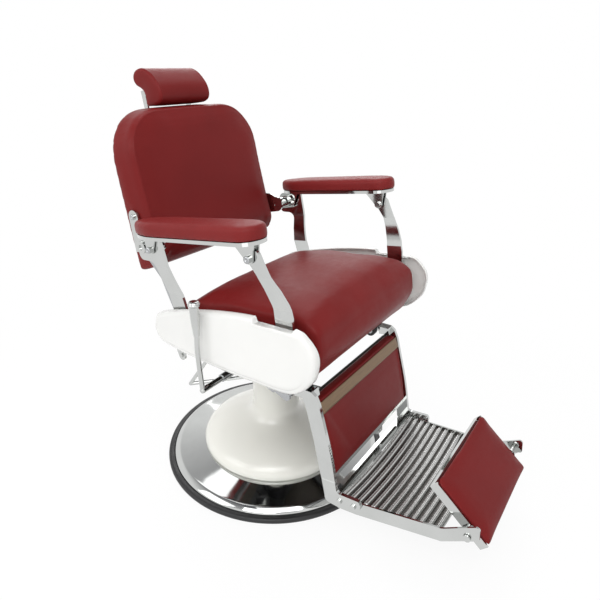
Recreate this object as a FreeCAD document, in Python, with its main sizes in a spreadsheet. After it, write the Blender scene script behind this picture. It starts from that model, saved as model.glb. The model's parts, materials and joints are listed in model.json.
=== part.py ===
import FreeCAD, Part
import math
import os
import Sketcher
from FreeCAD import Placement, Rotation, Vector

# Hydraulic barber chair, millimetres, +Z up, origin on the floor under the swivel axis.
# The chair faces -Y.  The base is level; everything above the swivel leans back by the rake, and
# is drawn in seat coordinates: x across, s forward, n up (at right angles to the seat).

doc = FreeCAD.newDocument("BarberChair")

SIZES = {
    "rake": 8.5, "wall": 4, "bar_thick": 8, "fit": 0.05,
    "ring_radius": 350, "ring_height": 18, "plate_radius": 323.5, "plate_top": 40,
    "bell_radius": 230, "neck_radius": 73, "neck_low": 153.5, "neck_top": 345,
    "cylinder_radius": 56, "bore_radius": 47.5, "ram_radius": 46, "ram_low": 70, "ram_top": 385,
    "spindle_radius": 22, "hub_radius": 60, "hub_low": 391, "saddle_level": 428,
    "rail_inner": 176, "rail_outer": 200, "rail_low": 452, "rail_top": 476,
    "cushion_half": 256, "cushion_low": 488.3, "board_half": 240,
    "skirt_inner": 267, "skirt_edge": 291, "skirt_outer": 311, "post_low": 280, "post_top": 303.5,
    "arm_centre": 305, "arm_half": 45, "arm_low": 778, "arm_mid": 786.5, "arm_top": 821,
    "pivot_back": 78, "pivot_level": 748, "pin_radius": 8, "boss_radius": 18,
    "bracket_inner": 250, "bracket_thick": 6, "crank_run": 31, "crank_rise": 18,
    "link_inner": 259.5, "link_thick": 5, "link_half": 9, "link_pin": 5,
    "leg_forward": 286, "leg_level": 378, "shaft_radius": 9,
    "back_half": 250, "back_upper_half": 247, "back_top": 1083, "back_corner": 125,
    "head_half": 96, "stem_across": 80, "stem_thick": 5, "stem_deep": 15,
    "legrail_inner": 212, "legrail_outer": 222, "calf_half": 211, "calf_low": 141,
    "footbar_wide": 208.5, "footbar_narrow": 183, "rib_pitch": 20, "rib_count": 13,
    "flip_forward": 708, "flip_level": 79, "flip_half": 160, "flip_long": 129, "flip_short": 51,
    "pump_forward": 75, "pump_level": 384, "pump_side": 330, "pump_radius": 8,
    "piston_run": 45, "cyl_side": 160, "cyl_level": 420.9, "cyl_radius": 16, "rod_radius": 7,
}

sheet = doc.addObject("Spreadsheet::Sheet", "Sizes")
for row, (alias, number) in enumerate(SIZES.items(), start=1):
    sheet.set("A%d" % row, alias)
    sheet.set("B%d" % row, str(number))
    sheet.setAlias("B%d" % row, alias)
doc.recompute()


class Size(float):
    """A length that remembers the sheet formula it comes from."""

    def __new__(cls, number, formula):
        made = float.__new__(cls, number)
        made.formula = formula
        return made

    def __add__(self, other):
        return Size(float(self) + float(other), "(%s + %s)" % (formula_of(self), formula_of(other)))

    def __radd__(self, other):
        return Size(float(other) + float(self), "(%s + %s)" % (formula_of(other), formula_of(self)))

    def __sub__(self, other):
        return Size(float(self) - float(other), "(%s - %s)" % (formula_of(self), formula_of(other)))

    def __rsub__(self, other):
        return Size(float(other) - float(self), "(%s - %s)" % (formula_of(other), formula_of(self)))

    def __mul__(self, other):
        return Size(float(self) * float(other), "(%s * %s)" % (formula_of(self), formula_of(other)))

    __rmul__ = __mul__

    def __truediv__(self, other):
        return Size(float(self) / float(other), "(%s / %s)" % (formula_of(self), formula_of(other)))

    def __neg__(self):
        return Size(-float(self), "(-1 * %s)" % formula_of(self))


def formula_of(number):
    return number.formula if isinstance(number, Size) else repr(float(number))


class Sheet:
    """Every alias of the sheet as a Size."""


S = Sheet()
for alias in SIZES:
    setattr(S, alias, Size(float(sheet.get(alias)), "Sizes." + alias))

# ---------------------------------------------------------------- frames

LEVEL = Placement()
RAKED = Placement(Vector(0, 0, 0), Rotation(Vector(1, 0, 0), -float(S.rake)))


def leaning(forward, level, lean):
    """A frame at a point of the seat frame, its up axis leant further back by some degrees."""
    return RAKED.multiply(Placement(Vector(0, -forward, level), Rotation(Vector(1, 0, 0), -lean)))


BACK_LEAN = math.degrees(math.atan(0.055))
STEM = leaning(-233, 1083, BACK_LEAN)
TREAD = leaning(385, 83.5, -3.6)
FLIP = leaning(float(S.flip_forward), float(S.flip_level), 41.4)
GRIP = leaning(91, 540, -7.0)

# ---------------------------------------------------------------- drawing helpers

made = {}
PLANES = {"side": "YZ_Plane", "front": "XZ_Plane", "plan": "XY_Plane"}


def bind(owner, path, number):
    if isinstance(number, Size):
        owner.setExpression(path, number.formula)


def new_body(label, place=RAKED):
    body = doc.addObject("PartDesign::Body", label)
    body.Label = label
    body.AllowCompound = True
    body.Placement = place
    made[label] = body
    return body


def turned_point(plane, point):
    """Seat coordinates to sketch coordinates: s runs against the body's own Y axis."""
    radius = point[2] if len(point) > 2 else 0
    if plane == "side":
        return (-point[0], point[1], -radius)
    if plane == "plan":
        return (point[0], -point[1], -radius)
    return (point[0], point[1], radius)


def arc_edge(start, end, radius):
    """An arc of less than half a turn; a positive radius keeps its centre on the left."""
    chord = end.sub(start)
    size = abs(float(radius))
    reach = math.sqrt(max(size * size - chord.Length ** 2 / 4, 0.0))
    left = Vector(-chord.y, chord.x, 0).normalize()
    centre = start.add(end).multiply(0.5).add(left.multiply(reach if radius > 0 else -reach))
    first, last = (start, end) if radius > 0 else (end, start)
    low = math.atan2(first.y - centre.y, first.x - centre.x)
    high = math.atan2(last.y - centre.y, last.x - centre.x)
    if high < low:
        high += 2 * math.pi
    return Part.ArcOfCircle(Part.Circle(centre, Vector(0, 0, 1), size), low, high)


def set_point(sketch, index, position, x, y):
    for kind, number in (("DistanceX", x), ("DistanceY", y)):
        made_at = sketch.addConstraint(
            Sketcher.Constraint(kind, -1, 1, index, position, float(number)))
        bind(sketch, "Constraints[%d]" % made_at, number)


def draw_outline(sketch, plane, points):
    """A closed outline; a point's third number is the radius of the arc to the next point."""
    points = [turned_point(plane, point) for point in points]
    first = sketch.GeometryCount
    ends = []
    for number, point in enumerate(points):
        following = points[(number + 1) % len(points)]
        start = Vector(point[0], point[1], 0)
        end = Vector(following[0], following[1], 0)
        if point[2] == 0:
            index = sketch.addGeometry(Part.LineSegment(start, end))
            ends.append((index, 1, 2))
            continue
        index = sketch.addGeometry(arc_edge(start, end, point[2]))
        ends.append((index, 1, 2) if point[2] > 0 else (index, 2, 1))
        at = sketch.addConstraint(Sketcher.Constraint("Radius", index, abs(float(point[2]))))
        if isinstance(point[2], Size):
            bind(sketch, "Constraints[%d]" % at, point[2] if point[2] > 0 else -point[2])
    for number in range(len(points)):
        here = ends[number]
        after = ends[(number + 1) % len(points)]
        sketch.addConstraint(Sketcher.Constraint("Coincident", here[0], here[2], after[0], after[1]))
    for number, point in enumerate(points):
        set_point(sketch, ends[number][0], ends[number][1], point[0], point[1])
    return first


def draw_circle(sketch, plane, circle):
    x, y, unused = turned_point(plane, circle[1:3])
    index = sketch.addGeometry(Part.Circle(Vector(x, y, 0), Vector(0, 0, 1), float(circle[3])))
    at = sketch.addConstraint(Sketcher.Constraint("Radius", index, float(circle[3])))
    bind(sketch, "Constraints[%d]" % at, circle[3])
    set_point(sketch, index, 3, x, y)


def draw(body, plane, shapes, depth=0):
    """A sketch on one of the body's own origin planes, moved along its normal by depth."""
    sketch = body.newObject("Sketcher::SketchObject", body.Label + "_sketch")
    role = PLANES[plane]
    origin = [part for part in body.Origin.OriginFeatures if part.Role == role][0]
    sketch.AttachmentSupport = (origin, [""])
    sketch.MapMode = "FlatFace"
    sketch.AttachmentOffset = Placement(Vector(0, 0, float(depth)), Rotation())
    bind(sketch, ".AttachmentOffset.Base.z", depth)
    for shape in shapes:
        if shape[0] == "circle":
            draw_circle(sketch, plane, shape)
        else:
            draw_outline(sketch, plane, shape)
    return sketch


def pad(body, plane, shapes, low, high):
    """Solid between two depths: x for side, s for front and n for plan outlines."""
    feature = body.newObject("PartDesign::Pad", body.Label + "_pad")
    feature.Profile = draw(body, plane, shapes, low)
    feature.Length = float(high) - float(low)
    if isinstance(high, Size) or isinstance(low, Size):
        feature.setExpression("Length", "%s - %s" % (formula_of(high), formula_of(low)))
    body.Tip = feature
    return feature


def pocket(body, plane, shapes, low, high):
    """Cut between two depths, and make sure that something was cut."""
    doc.recompute()
    before = body.Shape.Volume
    feature = body.newObject("PartDesign::Pocket", body.Label + "_pocket")
    feature.Profile = draw(body, plane, shapes, low)
    feature.Reversed = True
    feature.Length = float(high) - float(low)
    if isinstance(high, Size) or isinstance(low, Size):
        feature.setExpression("Length", "%s - %s" % (formula_of(high), formula_of(low)))
    body.Tip = feature
    doc.recompute()
    if body.Shape.Volume >= before - 0.01:
        raise RuntimeError("a pocket of %s cuts nothing" % body.Label)
    return feature


def turn(body, outline):
    """A full turn of an (r, z) outline about the body's vertical axis."""
    feature = body.newObject("PartDesign::Revolution", body.Label + "_turn")
    feature.Profile = draw(body, "front", [outline])
    feature.ReferenceAxis = (feature.Profile[0], ["V_Axis"])
    feature.Angle = 360
    body.Tip = feature
    return feature


def soften(body, radius, chosen):
    """Round the edges that the test chooses."""
    doc.recompute()
    base = body.Tip
    names = []
    for number, edge in enumerate(base.Shape.Edges, start=1):
        if chosen(edge):
            names.append("Edge%d" % number)
    if not names:
        raise RuntimeError("no edges to round on %s" % body.Label)
    feature = body.newObject("PartDesign::Fillet", body.Label + "_round")
    feature.Base = (base, names)
    feature.Radius = float(radius)
    bind(feature, "Radius", radius)
    body.Tip = feature
    doc.recompute()
    if "Invalid" in feature.State or "Error" in feature.State:
        raise RuntimeError("rounding failed on %s" % body.Label)
    return feature


def repeat_round(body, feature, count):
    """Copies of one feature, evenly round the vertical axis."""
    pattern = body.newObject("PartDesign::PolarPattern", body.Label + "_pattern")
    pattern.Originals = [feature]
    axis = [part for part in body.Origin.OriginFeatures if part.Role == "Z_Axis"][0]
    pattern.Axis = (axis, [""])
    pattern.Angle = 360
    pattern.Occurrences = count
    body.Tip = pattern
    return pattern


def rectangle(left, low, right, high):
    return [(left, low), (right, low), (right, high), (left, high)]


def hole(across, level, radius):
    return ("circle", across, level, radius)


def span(side, near, far):
    """Low and high x of a stretch given by its distances from the middle of the chair."""
    return (near, far) if side > 0 else (-far, -near)


def strip(path, half):
    """Outline of a bar of even width along a path, with round ends."""
    left = []
    right = []
    for number, (x, y) in enumerate(path):
        before = path[max(number - 1, 0)]
        after = path[min(number + 1, len(path) - 1)]
        one = Vector(x - before[0], y - before[1], 0)
        two = Vector(after[0] - x, after[1] - y, 0)
        one = one.normalize() if one.Length > 0 else two.normalize()
        two = two.normalize() if two.Length > 0 else one
        middle = one.add(two).normalize()
        reach = half / middle.dot(one)
        left.append((x - middle.y * reach, y + middle.x * reach))
        right.append((x + middle.y * reach, y - middle.x * reach))
    start = Vector(path[1][0] - path[0][0], path[1][1] - path[0][1], 0).normalize()
    end = Vector(path[-1][0] - path[-2][0], path[-1][1] - path[-2][1], 0).normalize()
    nose = (path[-1][0] + end.x * half, path[-1][1] + end.y * half, half)
    tail = (path[0][0] - start.x * half, path[0][1] - start.y * half, half)
    outline = right[:-1] + [right[-1] + (half,), nose] + left[::-1][:-1]
    return outline + [left[0] + (half,), tail]


def round_end(x, y, radius):
    """Lower half of a round end, from left to right, as two arcs and a last point."""
    return [(x - radius, y, radius), (x, y - radius, radius), (x + radius, y)]


def seat_point(across, forward, level):
    """A point given in seat coordinates, in the body's own axes."""
    return Vector(across, -forward, level)


def rod(points, radius):
    """A round rod along straight runs, with a ball at each bend."""
    shape = None
    for start, end in zip(points[:-1], points[1:]):
        run = end.sub(start)
        piece = Part.makeCylinder(radius, run.Length, start, run)
        shape = piece if shape is None else shape.fuse(piece)
    for point in points[1:-1]:
        shape = shape.fuse(Part.makeSphere(radius, point))
    return shape.removeSplitter()


def loose(label, shape, place=RAKED):
    """A sub-part whose shape is put together from plain solids."""
    feature = doc.addObject("Part::Feature", label)
    feature.Label = label
    feature.Shape = shape
    feature.Placement = place
    made[label] = feature
    return feature


# ---------------------------------------------------------------- base, level

def floor_ring():
    body = new_body("floor_ring", LEVEL)
    outer = S.ring_radius
    top = S.ring_height
    turn(body, [(outer - 52, 0), (outer, 0), (outer, top - 6, 6), (outer - 6, top),
                (S.plate_radius + 1, top - 2), (S.plate_radius + 1, 12), (outer - 52, 12)])


def base_plate():
    body = new_body("base_plate", LEVEL)
    edge = S.plate_radius
    top = S.plate_top
    wall = S.wall
    turn(body, [(48, top - wall), (S.bell_radius + 2, top - wall), (edge - 24, 15.6), (edge - 24, 12),
                (edge, 12), (edge, 17, 14), (edge - 9, 29, 10), (edge - 15, 27), (edge - 20.5, 20.5),
                (S.bell_radius + 2, top), (48, top)])
    cut = pocket(body, "plan", [hole(75, 0, 5)], top - wall - 1, top + 1)
    repeat_round(body, cut, 6)


def pump_cylinder():
    body = new_body("pump_cylinder", LEVEL)
    top = S.plate_top
    turn(body, [(0, 0), (47, 0), (47, top), (90, top), (90, top + 10),
                (S.cylinder_radius, top + 10), (S.cylinder_radius, 322), (S.bore_radius, 322),
                (S.bore_radius, top + 12), (0, top + 12)])
    cut = pocket(body, "plan", [hole(75, 0, 5)], top - 1, top + 11)
    repeat_round(body, cut, 6)


def base_bolts():
    body = new_body("base_bolts", LEVEL)
    top = S.plate_top
    head = pad(body, "plan", [hole(75, 0, 8)], top + 10, top + 16)
    shank = pad(body, "plan", [hole(75, 0, 4.9)], top - S.wall, top + 10)
    pattern = repeat_round(body, head, 6)
    pattern.Originals = [head, shank]


def bell_cover():
    body = new_body("bell_cover", LEVEL)
    foot = S.bell_radius
    neck = S.neck_radius
    wall = S.wall
    top = S.plate_top
    turn(body, [(foot, top), (foot, top + 4, 44), (208, 82, 453), (neck + 19, 129, -25.3),
                (neck, S.neck_low), (neck, S.neck_top), (neck - wall, S.neck_top),
                (neck - wall, S.neck_low, 29.3), (neck + 18, 125.1, -449), (206, 78.5, -40),
                (foot - wall, top + 4), (foot - wall, top)])


def guide_bush():
    body = new_body("guide_bush", LEVEL)
    bore = S.ram_radius + S.fit
    neck = S.neck_radius
    turn(body, [(bore, 322), (neck - 4.4, 322), (neck - 4.4, S.neck_top), (neck - 0.5, S.neck_top),
                (neck - 0.5, S.neck_top + 3, 2), (neck - 2.5, S.neck_top + 5),
                (bore, S.neck_top + 5)])


def ram_parts():
    body = new_body("ram_tube", LEVEL)
    turn(body, [(S.ram_radius - 10, S.ram_low), (S.ram_radius, S.ram_low),
                (S.ram_radius, S.ram_top), (S.ram_radius - 10, S.ram_top)])
    body = new_body("ram_piston", LEVEL)
    plug = S.ram_radius - 10.1
    rim = S.bore_radius - S.fit
    turn(body, [(0, S.ram_low - 10), (rim, S.ram_low - 10), (rim, S.ram_low),
                (plug, S.ram_low), (plug, S.ram_low + 25), (0, S.ram_low + 25)])
    body = new_body("swivel_spindle", LEVEL)
    turn(body, [(0, S.ram_top - 40), (plug, S.ram_top - 40), (plug, S.ram_top),
                (S.spindle_radius, S.ram_top), (S.spindle_radius, 418), (0, 418)])


# ---------------------------------------------------------------- swivel and seat frame

def swivel_parts():
    body = new_body("thrust_bearing", LEVEL)
    turn(body, [(S.spindle_radius + 1, S.ram_top), (44, S.ram_top), (44, S.hub_low),
                (S.spindle_radius + 1, S.hub_low)])
    body = new_body("swivel_hub", LEVEL)
    bore = S.spindle_radius + S.fit
    turn(body, [(bore, S.hub_low), (S.hub_radius, S.hub_low), (S.hub_radius, 470), (0, 470),
                (0, 421), (bore, 421)])
    slope = math.tan(math.radians(float(S.rake)))
    level = S.saddle_level / math.cos(math.radians(float(S.rake)))
    pocket(body, "side", [[(-80, level - 80 * slope), (80, level + 80 * slope), (80, 480),
                           (-80, 480)]], -80, 80)


def seat_frame():
    body = new_body("seat_frame")
    low = S.rail_low
    top = S.rail_top
    inner = S.rail_inner
    outer = S.rail_outer
    pad(body, "front", [rectangle(inner, low, outer, top), rectangle(-outer, low, -inner, top)],
        -86, 318)
    pad(body, "side", [rectangle(-86, 470, -66, 512)], -261, 261)
    pad(body, "side", [rectangle(288, 437, 312, low + 1)], -S.skirt_inner, S.skirt_inner)
    pad(body, "plan", [rectangle(-80, 0, 80, 128)], S.saddle_level, S.saddle_level + 8)
    pad(body, "side", [rectangle(4, 435, 28, 460), rectangle(100, 435, 124, 460)], -outer, outer)
    pad(body, "plan", [rectangle(-184, 134, -140, 142)], 404, low + 2)
    bearing = round_end(S.leg_forward, S.leg_level, 18)
    bearing = bearing + [(S.leg_forward + 18, low + 4), (S.leg_forward - 18, low + 4)]
    for side in (-1, 1):
        pad(body, "side", [bearing], *span(side, inner, inner + 15))
        pocket(body, "side", [hole(S.leg_forward, S.leg_level, S.shaft_radius + S.fit)],
               *span(side, inner - 2, outer + 2))
    lever = round_end(S.pump_forward, S.pump_level, 15)
    pad(body, "side", [lever + [(S.pump_forward + 15, low + 4), (S.pump_forward - 15, low + 4)]],
        -outer, 12 - outer)
    pad(body, "side", [lever + [(106, 440), (18, 440)]], -100, -92)
    pocket(body, "side", [hole(S.pump_forward, S.pump_level, S.pump_radius + S.fit)], -202, -90)
    pad(body, "plan", [rectangle(-258, 30, 2 - outer, 50)], 440, low + 2)


def seat_board():
    body = new_body("seat_board")
    half = S.board_half
    pad(body, "plan", [[(half, 0), (half, 303, 30), (half - 30, 333), (30 - half, 333, 30),
                        (-half, 303), (-half, -30, 20), (20 - half, -50), (half - 20, -50, 20),
                        (half, -30)]], S.rail_top, S.rail_top + 12)


def seat_cushion():
    body = new_body("seat_cushion")
    low = S.cushion_low
    pad(body, "side", [[(-22, low), (334, low), (340, 445), (357, 427), (404, 498), (405, 521),
                        (401, 561, 30), (383, 584), (366, 593), (300, 612, 900), (150, 625, 900),
                        (20, 612), (-20, 598)]], -S.cushion_half, S.cushion_half)
    for side in (-1, 1):
        outline = [(206, 400), (270, 400), (270, 505), (257, 505)]
        pocket(body, "front", [[(side * x, y) for x, y in outline[::side]]], 330, 420)
    soften(body, 20, lambda edge: on_side_top(edge, float(S.cushion_half), 585))


def on_side_top(edge, half, level):
    box = edge.BoundBox
    return abs(abs(box.XMin) - half) < 0.1 and box.XLength < 0.1 and box.ZMin > level


# ---------------------------------------------------------------- skirts, posts and arms

SKIRT = [(-62, 573), (-89, 550), (-98, 519), (-80, 488), (-26, 468), (86, 446), (154, 436),
         (229, 429), (342, 420), (403, 460), (423, 501), (425, 537), (402, 568), (376, 586),
         (279, 600), (178, 600), (67, 592)]


def inset(points, amount):
    """The same outline, drawn in by an even amount."""
    result = []
    for number, here in enumerate(points):
        before = points[number - 1]
        after = points[(number + 1) % len(points)]
        one = Vector(here[0] - before[0], here[1] - before[1], 0).normalize()
        two = Vector(after[0] - here[0], after[1] - here[1], 0).normalize()
        middle = one.add(two).normalize()
        reach = amount / middle.dot(one)
        result.append((here[0] - middle.y * reach, here[1] + middle.x * reach))
    return result


def skirt(label, side):
    body = new_body(label)
    outer = float(S.skirt_outer)
    pad(body, "side", [SKIRT], *span(side, S.skirt_edge, S.skirt_outer))
    doc.recompute()

    def rim(edge):
        box = edge.BoundBox
        return box.XLength < 0.1 and abs(abs(box.XMin) - outer) < 0.1

    soften(body, 9, rim)
    pocket(body, "side", [inset(SKIRT, float(S.wall))],
           *span(side, S.skirt_edge, S.skirt_outer - S.wall))
    post = [hole(326, 525, 13), hole(-8, 505, 13)]
    pad(body, "side", post, *span(side, S.post_low + 4.3, S.skirt_outer - 3))
    pocket(body, "side", [hole(326, 525, 5), hole(-8, 505, 5)],
           *span(side, S.post_low + 4, S.post_low + 20))
    pad(body, "side", [hole(-76, 505, 9), hole(300, 445, 8)],
        *span(side, S.skirt_inner, S.skirt_outer - 3))
    pocket(body, "side", [[(263, 588), (370, 579), (377, 620), (255, 620)]],
           *span(side, S.skirt_edge - 1, S.skirt_outer + 1))


def joggle(body, side):
    """Leave an even bar that runs out from the low level to the top level."""
    half = S.bar_thick / 2
    run = [(S.post_low, 440), (S.post_low, 620), (S.post_top - 3.5, 700), (S.post_top, 790)]
    inside = [(x - half, n) for x, n in run] + [(255, 790), (255, 440)]
    outside = [(x + half, n) for x, n in run] + [(325, 790), (325, 440)]
    for outline in (inside, outside[::-1]):
        pocket(body, "front", [[(side * x, n) for x, n in outline[::side]]], -120, 380)


def post(label, side, outline, holes):
    body = new_body(label)
    low, high = span(side, 260, 320)
    pad(body, "side", [outline], low, high)
    joggle(body, side)
    pocket(body, "side", [hole(*place) for place in holes], low, high)


FRONT_POST = [(308, 505), (347, 505), (355, 576), (356, 603), (352, 634), (341, 667), (331, 686),
              (322, 705), (312, 733), (306, 752, 20), (288, 762, 20), (271, 752), (268, 742),
              (275, 728), (291, 702), (300, 672), (308, 630), (308, 586)]
REAR_POST = [(-30, 485), (14, 485), (16, 577), (9, 612, -400), (-3, 690), (-5, 722), (-9, 762, 12),
             (-21, 776), (-84, 776, 18), (-98, 762), (-98, 729, 15), (-85, 713), (-66, 712, -22),
             (-44, 690), (-44, 660), (-40, 620), (-32, 577)]


def arm_outline(side, trim):
    """Plan of an arm: round in front, drawn out behind."""
    half = S.arm_half - trim
    mid = S.arm_centre
    front = 325 - trim
    back = -80 + trim
    turn_x = 21.66 - 0.867 * trim
    turn_s = -67.45 + 0.498 * trim
    long_arc = 175.6 - trim
    tip_arc = 25 - trim
    points = [(mid + half, 20), (mid + half, front - half, half), (mid, front, half),
              (mid - half, front - half), (mid - half, 20, long_arc),
              (mid - turn_x, turn_s, tip_arc), (mid, back, tip_arc),
              (mid + turn_x, turn_s, long_arc)]
    if side > 0:
        return points
    flipped = []
    for number, point in enumerate(points):
        before = points[number - 1]
        radius = before[2] if len(before) > 2 else 0
        flipped.append((-point[0], point[1], radius))
    return flipped[::-1]


def arm(side, name):
    body = new_body("arm_plate_" + name)
    pad(body, "plan", [arm_outline(side, 3)], S.arm_low, S.arm_mid)
    front = round_end(280, 742, 12) + [(300, 782), (235, 782)]
    rear = round_end(-45, 744, 12) + [(-12, 782), (-60, 782)]
    for near, far in ((288, 292), (308, 312)):
        pad(body, "side", [front, rear], *span(side, near, far))
    pocket(body, "side", [hole(280, 742, 5.1), hole(-45, 744, 5.1)], *span(side, 286, 314))
    body = new_body("arm_pad_" + name)
    pad(body, "plan", [arm_outline(side, 0)], S.arm_mid, S.arm_top)
    soften(body, 9, lambda edge: edge.BoundBox.ZMin > float(S.arm_top) - 0.1)
    soften(body, 5, lambda edge: edge.BoundBox.ZMax < float(S.arm_mid) + 0.1)


def side_bolts():
    body = new_body("arm_bolts")
    places = [(280, 742), (-45, 744)]
    for side in (-1, 1):
        pad(body, "side", [hole(s, n, 5) for s, n in places], *span(side, 282, 314))
        pad(body, "side", [hole(s, n, 9) for s, n in places], *span(side, 312, 318))
        pad(body, "side", [hole(s, n, 8) for s, n in places], *span(side, 280, 288))
    body = new_body("post_bolts")
    places = [(326, 525), (-8, 505)]
    for side in (-1, 1):
        pad(body, "side", [hole(s, n, 4.9) for s, n in places],
            *span(side, S.post_low - 8, S.post_low + 16))
        pad(body, "side", [hole(s, n, 8) for s, n in places],
            *span(side, S.post_low - 9, S.post_low - 4))
    body = new_body("skirt_lugs")
    lug = [(-86, 512), (-80, 460)] + round_end(-60, 427, 12) + [(-42, 460), (-60, 500), (-66, 512)]
    for side in (-1, 1):
        pad(body, "side", [lug], *span(side, 261, S.skirt_inner))
        pad(body, "side", [hole(-60, 430, 6)], *span(side, S.skirt_inner, S.skirt_inner + 4))


def back_pivot_bolts():
    body = new_body("back_pivot_bolts")
    s = -S.pivot_back
    n = S.pivot_level
    for side in (-1, 1):
        pad(body, "side", [hole(s, n, S.pin_radius)], *span(side, S.bracket_inner + 0.3, 310))
        pad(body, "side", [hole(s, n, S.boss_radius)],
            *span(side, S.bracket_inner + S.bracket_thick + 1, 297))
        pad(body, "side", [hole(s, n, 16)], *span(side, 307, 313))
        pocket(body, "side", [hole(s, n, 7)], *span(side, 309, 314))


# ---------------------------------------------------------------- backrest

def back_rear(level):
    """Forward position of the back's rear plane."""
    return -190 - (level - 656) * 0.055


def back_front(level):
    return -102 - (level - 675.5) * 0.1175


def trim_back(body, low, high, slack):
    """Draw the sides in towards the top and round the top corners."""
    wide = S.back_half - slack
    narrow = S.back_upper_half - slack
    top = S.back_top - slack
    corner = float(S.back_corner)
    for side in (-1, 1):
        outline = [(wide, 640), (290, 640), (290, 1120), (narrow - corner - 40, 1120),
                   (narrow - corner - 40, top), (narrow - corner, top - 3, -corner),
                   (narrow, top - corner)]
        if side < 0:
            outline = [(-x[0], x[1]) for x in outline[::-1]]
            outline[0] = outline[0] + (-corner,)
        pocket(body, "front", [outline], low, high)


def backrest():
    body = new_body("back_cushion")
    thick = 14
    lower = 660
    upper = float(S.back_top)
    pad(body, "side", [[(back_rear(lower) + thick + 20, 657), (back_front(690) - 12, 672, 30),
                        (back_front(710), 705), (back_front(1050), 1050, 26),
                        (back_front(upper) - 22, upper), (back_rear(upper) + thick, upper),
                        (back_rear(lower) + thick, lower)]], -S.back_half, S.back_half)
    trim_back(body, -260, -80, 0)
    for side in (-1, 1):
        pocket(body, "side", [hole(-160, 812, 4.1)], *span(side, 243, 252))
    body = new_body("back_board")
    pad(body, "side", [[(back_rear(lower), lower), (back_rear(lower) + thick - 0.3, lower),
                        (back_rear(upper) + thick - 0.3, upper - 4),
                        (back_rear(upper), upper - 4)]], -S.back_half, S.back_half)
    trim_back(body, -260, -80, 4)


def back_brackets():
    for side, name in ((-1, "right"), (1, "left")):
        body = new_body("back_bracket_" + name)
        low, high = span(side, S.bracket_inner, S.bracket_inner + S.bracket_thick)
        s = -S.pivot_back
        n = S.pivot_level
        pad(body, "side", [[(-178, 715), (s, n - 24, 24), (s + 24, n, 24), (s, n + 24),
                            (-100, 783), (-134, 786, -8), (-142, 794), (-142, 812, 18),
                            (-160, 830, 18), (-178, 812)]], low, high)
        pocket(body, "side", [hole(s, n, S.pin_radius + S.fit), hole(-160, 812, 4)],
               low - 1, high + 1)
        if side < 0:
            pad(body, "side", [hole(s - S.crank_run, n + S.crank_rise, S.link_pin)],
                -S.link_inner - S.link_thick - 2, -S.bracket_inner - S.bracket_thick)
            pad(body, "side", [hole(s - S.crank_run, n + S.crank_rise, 8)],
                -S.link_inner + 0.3, -S.bracket_inner - S.bracket_thick)
    body = new_body("back_screws")
    for side in (-1, 1):
        pad(body, "side", [hole(-160, 812, 3.9)], *span(side, 244, 258))
        pad(body, "side", [hole(-160, 812, 8)], *span(side, 256, 260))


def headrest():
    mid = S.stem_across
    half = S.stem_thick / 2
    deep = S.stem_deep / 2
    body = new_body("headrest_guide", STEM)
    for side in (-1, 1):
        box = [(side * x, s) for x, s in rectangle(mid - 10, -13, mid + 10, 19.3)[::side]]
        pad(body, "plan", [box], -130, -40)
        slot = rectangle(mid - half - 0.4, -deep - 0.4, mid + half + 0.4, deep + 0.4)
        pocket(body, "plan", [[(side * x, s) for x, s in slot[::side]]], -131, -39)
    body = new_body("headrest_stem", STEM)
    for side in (-1, 1):
        box = rectangle(mid - half, -deep, mid + half, deep)
        pad(body, "plan", [[(side * x, s) for x, s in box[::side]]], -200, 46)
    pad(body, "side", [rectangle(-deep, 30, 9, 46)], -mid - half, mid + half)
    body = new_body("headrest_pad")
    pad(body, "side", [[(-220, 1084.5), (-179, 1085, 28), (-151, 1104), (-158, 1130),
                        (-171, 1154), (-189, 1173), (-212, 1182), (-236, 1182, 14), (-257, 1169),
                        (-250, 1141), (-238, 1133), (-220, 1133)]], -S.head_half, S.head_half)


# ---------------------------------------------------------------- leg rest

def leg_rails():
    s = S.leg_forward
    n = S.leg_level
    outline = [(s, n + 14, 14), (s - 14, n, 14), (s, n - 14), (310, 362), (313, 350), (319, 325),
               (332, 226, 900), (341, 132), (345, 81, 16), (359, 61), (391, 56), (437, 62, 20),
               (450, 80, 18), (446, 98), (395, 100, -12), (383, 106), (381, 146, 900), (371, 254),
               (358, 350), (350, 374), (338, 384), (300, 389)]
    head = [(308, 364), (343, 364), (340, 384), (308, 388)]
    for side, name in ((-1, "right"), (1, "left")):
        body = new_body("leg_rail_" + name)
        low, high = span(side, S.legrail_inner, S.legrail_outer)
        pad(body, "side", [outline], low, high)
        pad(body, "side", [head], *span(side, 192, S.legrail_inner))
        pocket(body, "side", [hole(s, n, S.shaft_radius + 0.1), hole(389, 77, 4), hole(430, 76, 4)],
               low - 1, high + 1)
        pocket(body, "side", [rectangle(330, 131.6, 395, 132.8)],
               *span(side, S.legrail_outer - 0.6, S.legrail_outer + 1))


def leg_hinge_shaft():
    body = new_body("leg_hinge_shaft")
    s = S.leg_forward
    n = S.leg_level
    side = float(S.cyl_side)
    pad(body, "side", [hole(s, n, S.shaft_radius)], -256, 6 - side)
    pad(body, "side", [hole(s, n, S.shaft_radius)], 174, 226)
    pad(body, "side", [hole(s, n, 13)], 222, 227)
    pad(body, "side", [strip([(s, n), (s - S.crank_run, n + S.crank_rise)], 12)], -256.5, -250.5)
    pad(body, "side", [hole(s - S.crank_run, n + S.crank_rise, S.link_pin)],
        -S.link_inner - S.link_thick - 1, -256)
    angle = math.radians(65)
    reach = float(S.piston_run)
    pin = (float(s) + reach * math.cos(angle), float(n) + reach * math.sin(angle))
    pad(body, "side", [strip([(float(s), float(n)), pin], 11)], -side - 6, 6 - side)
    pad(body, "side", [hole(pin[0], pin[1], 5)], -side - 14, 14 - side)


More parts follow.
